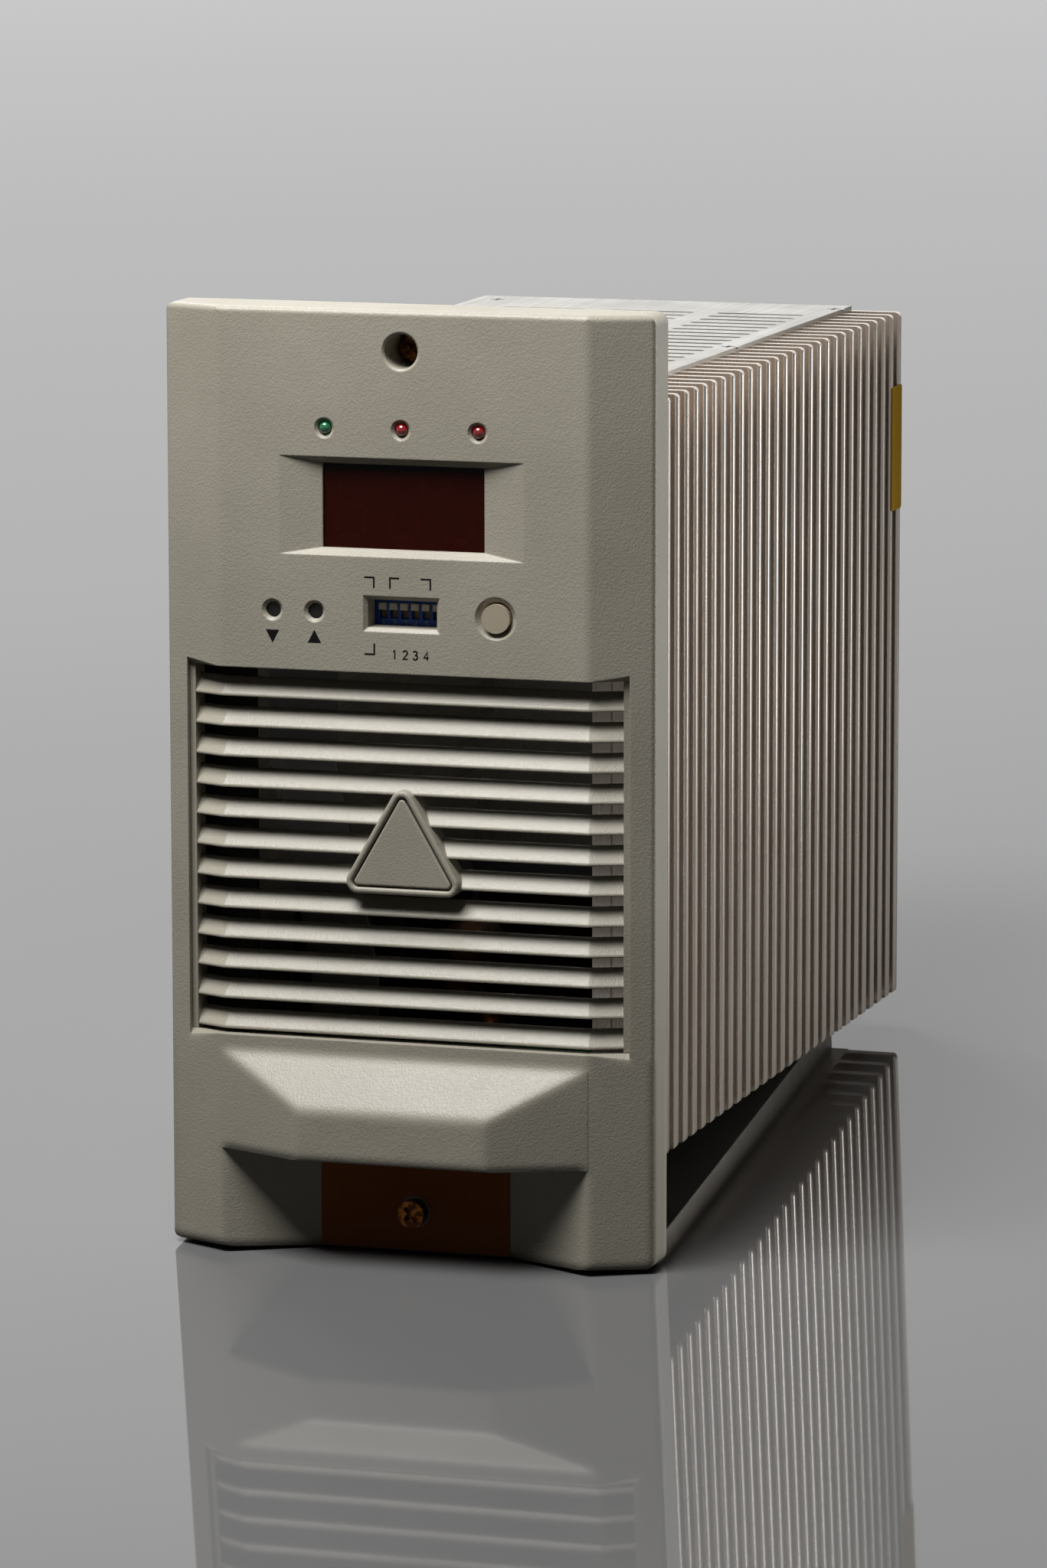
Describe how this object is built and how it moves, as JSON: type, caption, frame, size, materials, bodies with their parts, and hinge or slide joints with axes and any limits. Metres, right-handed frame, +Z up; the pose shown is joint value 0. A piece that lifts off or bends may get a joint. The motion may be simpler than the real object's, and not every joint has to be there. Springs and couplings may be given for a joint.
{
  "type": "plug-in power module",
  "caption": "Tall plug-in power module: moulded front panel with pull grip, louvre grille, display and keys, vented sheet chassis and a finned side heat sink.",
  "frame": {"origin": "middle of the underside of the whole module, at the height of the panel's lower edge", "axes": "+X to the right seen from the front, +Y from the front panel to the rear connector, +Z up"},
  "size_m": [0.115, 0.2456, 0.2155],
  "materials": {
    "panel_plastic": "fine-textured pebble grey moulding",
    "filter_plastic": "polished dark red filter",
    "black_plastic": "matt black moulding",
    "green_lens": "green lamp lens",
    "red_lens": "red lamp lens",
    "button_plastic": "pale grey moulding",
    "blue_plastic": "blue moulding",
    "lever_plastic": "off-white moulding",
    "laminate": "green solder-resist board",
    "passivated_screw": "yellow-passivated zinc plate",
    "plated_screw": "bright zinc plate",
    "sheet_steel": "galvanised sheet",
    "cover_sheet": "mill-finish sheet",
    "sink_aluminium": "natural extruded aluminium",
    "brass": "plain brass",
    "can_sleeve": "shrink sleeve",
    "ferrite": "sintered ferrite",
    "winding_copper": "enamelled copper wire",
    "pad": "thermal pad",
    "ribbon": "flat cable"
  },
  "bodies": {
    "module": {"front_panel": "panel_plastic", "louvre_grille": "panel_plastic", "badge_plate": "panel_plastic", "display_filter": "filter_plastic", "display_block": "black_plastic", "led_green": "green_lens", "leds_red": "red_lens", "led_spacers": "black_plastic", "control_board": "laminate", "control_screws": "plated_screw", "key_switches": "black_plastic", "button_switch": "black_plastic", "dip_body": "blue_plastic", "front_plate": "sheet_steel", "panel_screws": "plated_screw", "plate_screws": "plated_screw", "heat_sink": "sink_aluminium", "chassis_tray": "sheet_steel", "sink_screws": "plated_screw", "top_cover": "cover_sheet", "cover_screws": "plated_screw", "rear_panel": "sheet_steel", "rear_screws": "plated_screw", "main_board": "laminate", "standoffs": "brass", "board_screws": "plated_screw", "capacitors": "can_sleeve", "transformer_core": "ferrite", "transformer_winding": "winding_copper", "choke_core": "ferrite", "choke_winding": "winding_copper", "power_transistors": "black_plastic", "insulating_pads": "pad", "clamp_bar": "sheet_steel", "clamp_screws": "plated_screw", "rear_connector": "black_plastic", "connector_blades": "brass", "ribbon_cable": "ribbon", "ribbon_sockets": "black_plastic"},
    "push_button": {"push_button": "button_plastic"},
    "down_key": {"down_key": "black_plastic"},
    "up_key": {"up_key": "black_plastic"},
    "dip_slider_1": {"dip_slider_1": "lever_plastic"},
    "dip_slider_2": {"dip_slider_2": "lever_plastic"},
    "dip_slider_3": {"dip_slider_3": "lever_plastic"},
    "dip_slider_4": {"dip_slider_4": "lever_plastic"},
    "dip_slider_5": {"dip_slider_5": "lever_plastic"},
    "dip_slider_6": {"dip_slider_6": "lever_plastic"},
    "captive_screw_upper": {"captive_screw_upper": "passivated_screw", "retaining_ring_upper": "plated_screw"},
    "captive_screw_lower": {"captive_screw_lower": "passivated_screw", "retaining_ring_lower": "plated_screw"}
  },
  "joints": [
    {"name": "button_press", "type": "slide", "parent": "module", "child": "push_button", "axis": [0, 1, 0], "range_m": [0, 0.001], "stiffness_N_per_m": 1500},
    {"name": "down_press", "type": "slide", "parent": "module", "child": "down_key", "axis": [0, 1, 0], "range_m": [0, 0.0004], "stiffness_N_per_m": 2500},
    {"name": "up_press", "type": "slide", "parent": "module", "child": "up_key", "axis": [0, 1, 0], "range_m": [0, 0.0004], "stiffness_N_per_m": 2500},
    {"name": "option_1", "type": "slide", "parent": "module", "child": "dip_slider_1", "axis": [0, 0, -1], "range_m": [0, 0.002]},
    {"name": "option_2", "type": "slide", "parent": "module", "child": "dip_slider_2", "axis": [0, 0, -1], "range_m": [0, 0.002]},
    {"name": "option_3", "type": "slide", "parent": "module", "child": "dip_slider_3", "axis": [0, 0, -1], "range_m": [0, 0.002]},
    {"name": "option_4", "type": "slide", "parent": "module", "child": "dip_slider_4", "axis": [0, 0, -1], "range_m": [0, 0.002]},
    {"name": "option_5", "type": "slide", "parent": "module", "child": "dip_slider_5", "axis": [0, 0, -1], "range_m": [0, 0.002]},
    {"name": "option_6", "type": "slide", "parent": "module", "child": "dip_slider_6", "axis": [0, 0, -1], "range_m": [0, 0.002]},
    {"name": "upper_screw_turn", "type": "hinge", "parent": "module", "child": "captive_screw_upper", "pos_m": [0, -0.08996, 0.2063], "axis": [0, 1, 0], "continuous": true},
    {"name": "lower_screw_turn", "type": "hinge", "parent": "module", "child": "captive_screw_lower", "pos_m": [0, -0.08996, 0.0092], "axis": [0, 1, 0], "continuous": true}
  ]
}
